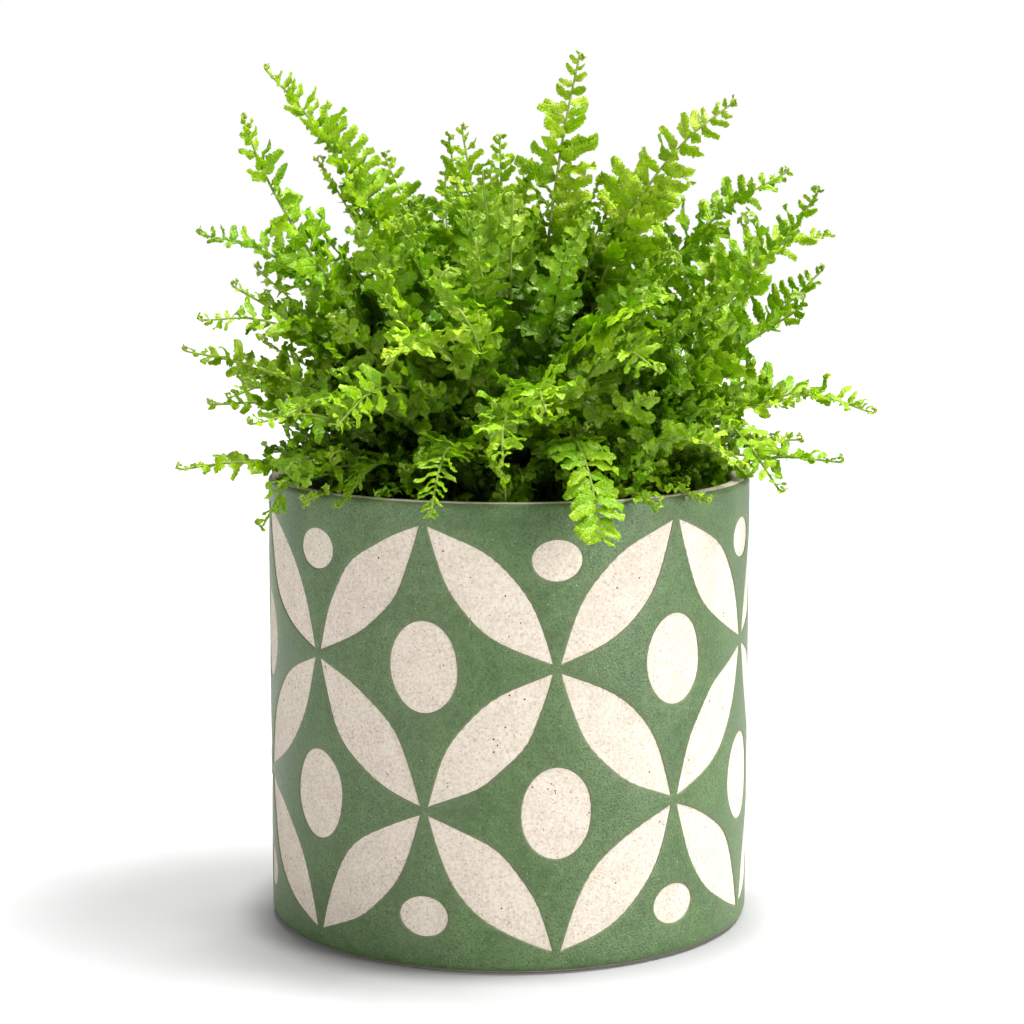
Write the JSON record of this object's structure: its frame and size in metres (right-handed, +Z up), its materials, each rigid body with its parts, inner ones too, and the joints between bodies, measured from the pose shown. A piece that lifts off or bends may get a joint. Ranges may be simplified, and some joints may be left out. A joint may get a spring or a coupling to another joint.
{
  "type": "potted vitale boston fern",
  "caption": "Compact crisped Boston fern in a plastic nursery pot, standing in a round glazed stoneware cover pot with bare clay ornament.",
  "frame": {"origin": "middle of the cover pot's flat base, on the surface it stands on", "axes": "+Z up along the pot's axis; -Y towards the pictured front, +X to its right"},
  "size_m": [0.216, 0.2046, 0.268],
  "materials": {
    "glaze": "satin",
    "bare_clay": "matte",
    "nursery_plastic": "satin",
    "peat": "matte",
    "stock_scales": "matte",
    "leaf": "satin"
  },
  "bodies": {
    "root": {"outer_pot": "glaze", "nursery_pot": "nursery_plastic", "soil": "peat", "crown": "stock_scales", "frond_01": "leaf", "frond_02": "leaf", "frond_03": "leaf", "frond_04": "leaf", "frond_05": "leaf", "frond_06": "leaf", "frond_07": "leaf", "frond_08": "leaf", "frond_09": "leaf", "frond_10": "leaf", "frond_11": "leaf", "frond_12": "leaf", "frond_13": "leaf", "frond_14": "leaf", "frond_15": "leaf", "frond_16": "leaf", "frond_17": "leaf", "frond_18": "leaf", "frond_19": "leaf", "frond_20": "leaf", "frond_21": "leaf", "frond_22": "leaf", "frond_23": "leaf", "frond_24": "leaf", "frond_25": "leaf", "frond_26": "leaf", "frond_27": "leaf", "frond_28": "leaf", "frond_29": "leaf", "frond_30": "leaf", "frond_31": "leaf", "frond_32": "leaf", "frond_33": "leaf", "frond_34": "leaf", "frond_35": "leaf", "frond_36": "leaf", "frond_37": "leaf", "frond_38": "leaf", "frond_39": "leaf", "frond_40": "leaf", "frond_41": "leaf", "frond_42": "leaf", "frond_43": "leaf", "frond_44": "leaf", "frond_45": "leaf", "frond_46": "leaf", "frond_47": "leaf", "frond_48": "leaf", "frond_49": "leaf", "frond_50": "leaf", "frond_51": "leaf", "frond_52": "leaf", "frond_53": "leaf", "frond_54": "leaf", "frond_55": "leaf", "frond_56": "leaf"}
  },
  "joints": []
}
